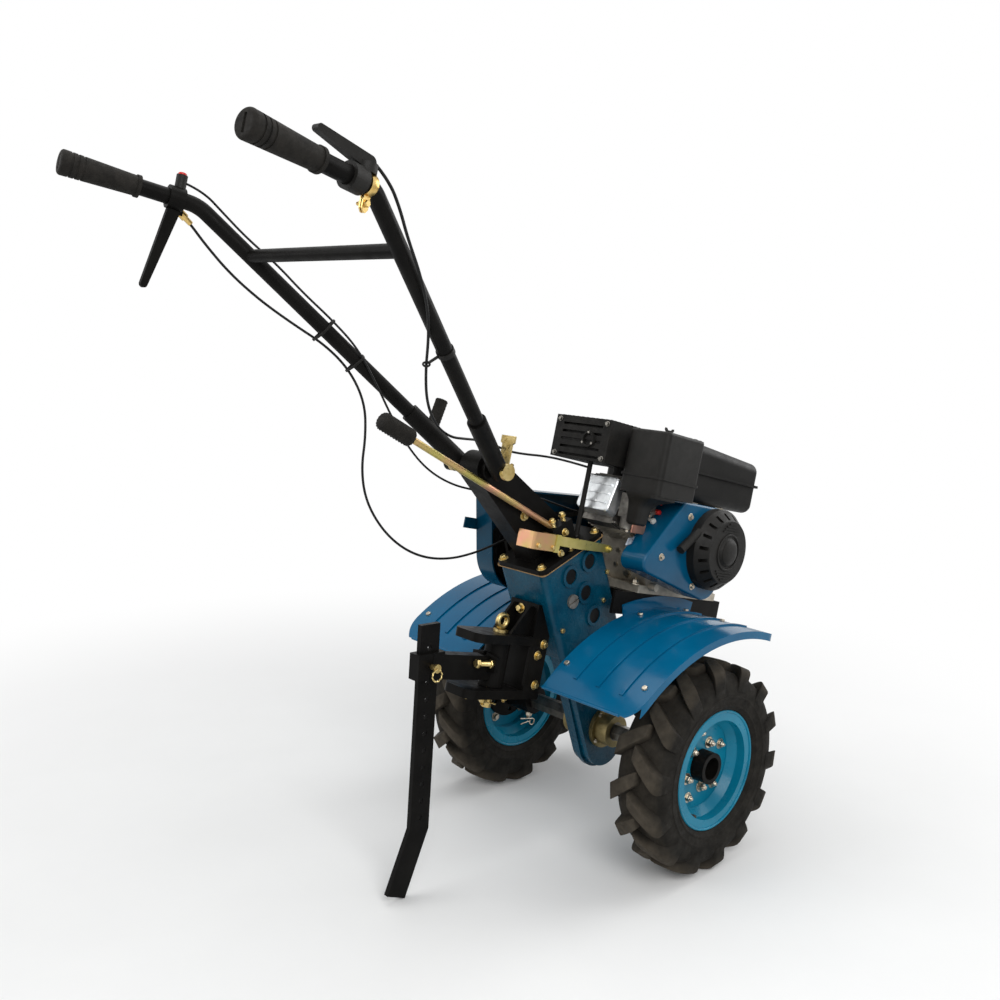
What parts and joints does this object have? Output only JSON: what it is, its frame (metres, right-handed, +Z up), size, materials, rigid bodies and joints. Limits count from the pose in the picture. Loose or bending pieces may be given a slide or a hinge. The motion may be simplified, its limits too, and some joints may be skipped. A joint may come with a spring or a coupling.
{
  "type": "hand tractor",
  "caption": "Petrol walking tractor with lugged drive wheels, blue fenders and gearbox, a small engine, adjustable handlebar and a rear hitch with a stake.",
  "frame": {"origin": "on the ground, under the middle of the whole machine's box", "axes": "+X forward in the direction of travel, +Y to the left, +Z up"},
  "size_m": [1.3742, 0.644, 1.2881],
  "materials": {
    "blue_paint": "gloss",
    "rim_paint": "gloss",
    "black_paint": "satin",
    "tyre_rubber": "matte",
    "zinc_steel": "satin",
    "engine_alloy": "matte",
    "rocker_alloy": "satin",
    "black_plastic": "satin",
    "black_rubber": "matte"
  },
  "bodies": {
    "chassis": {"air_cleaner": "black_plastic", "air_duct": "black_plastic", "axle_caps": "zinc_steel", "bearing_plugs": "black_rubber", "belt_hood": "blue_paint", "carburettor": "engine_alloy", "clutch_arm": "zinc_steel", "column": "black_paint", "cylinder_head": "engine_alloy", "drive_belt": "black_rubber", "drive_pulley": "zinc_steel", "driven_pulley": "zinc_steel", "engine_bed": "black_paint", "engine_block": "engine_alloy", "fan_shell": "blue_paint", "fender_left": "blue_paint", "fender_right": "blue_paint", "fuel_cap": "black_plastic", "fuel_tank": "black_plastic", "gear_knob": "black_rubber", "gear_lever": "zinc_steel", "gearbox_cover": "black_paint", "gearbox_housing": "blue_paint", "hitch_bracket": "black_paint", "hitch_pin": "zinc_steel", "muffler": "black_paint", "muffler_guard": "black_paint", "muffler_strut": "black_paint", "oil_plug": "zinc_steel", "recoil_starter": "black_plastic", "rocker_cover": "rocker_alloy", "shift_bracket": "zinc_steel"},
    "drive_axle": {"axle_shaft": "zinc_steel", "hub_left": "black_paint", "hub_right": "black_paint", "rim_left": "rim_paint", "rim_right": "rim_paint", "tyre_left": "tyre_rubber", "tyre_right": "tyre_rubber"},
    "handlebar": {"handlebar_tubes": "black_paint", "handlebar_yoke": "black_paint", "pivot_bolt": "zinc_steel", "grip_left": "black_rubber", "grip_right": "black_rubber", "clutch_lever": "black_plastic", "throttle_lever": "black_plastic", "stop_switch": "black_plastic", "clamp_lever": "zinc_steel", "clamp_grip": "black_rubber", "clutch_cable": "black_rubber", "stop_wire": "black_rubber", "throttle_cable": "black_rubber"},
    "drawbar": {"drawbar": "black_paint", "stake": "black_paint", "stake_pin": "zinc_steel"}
  },
  "joints": [
    {"name": "axle_spin", "type": "hinge", "parent": "chassis", "child": "drive_axle", "pos_m": [0.30309, 0, 0.207], "axis": [0, 1, 0], "continuous": true},
    {"name": "handlebar_tilt", "type": "hinge", "parent": "chassis", "child": "handlebar", "pos_m": [-0.04755, 0, 0.78501], "axis": [0, 1, 0], "range_deg": [-12, 18], "deforming": ["clutch_cable", "stop_wire", "throttle_cable"]},
    {"name": "drawbar_swing", "type": "hinge", "parent": "chassis", "child": "drawbar", "pos_m": [0.0002, 0, 0.39724], "axis": [0.2256, 0, 0.9742], "range_deg": [-12, 12]}
  ]
}
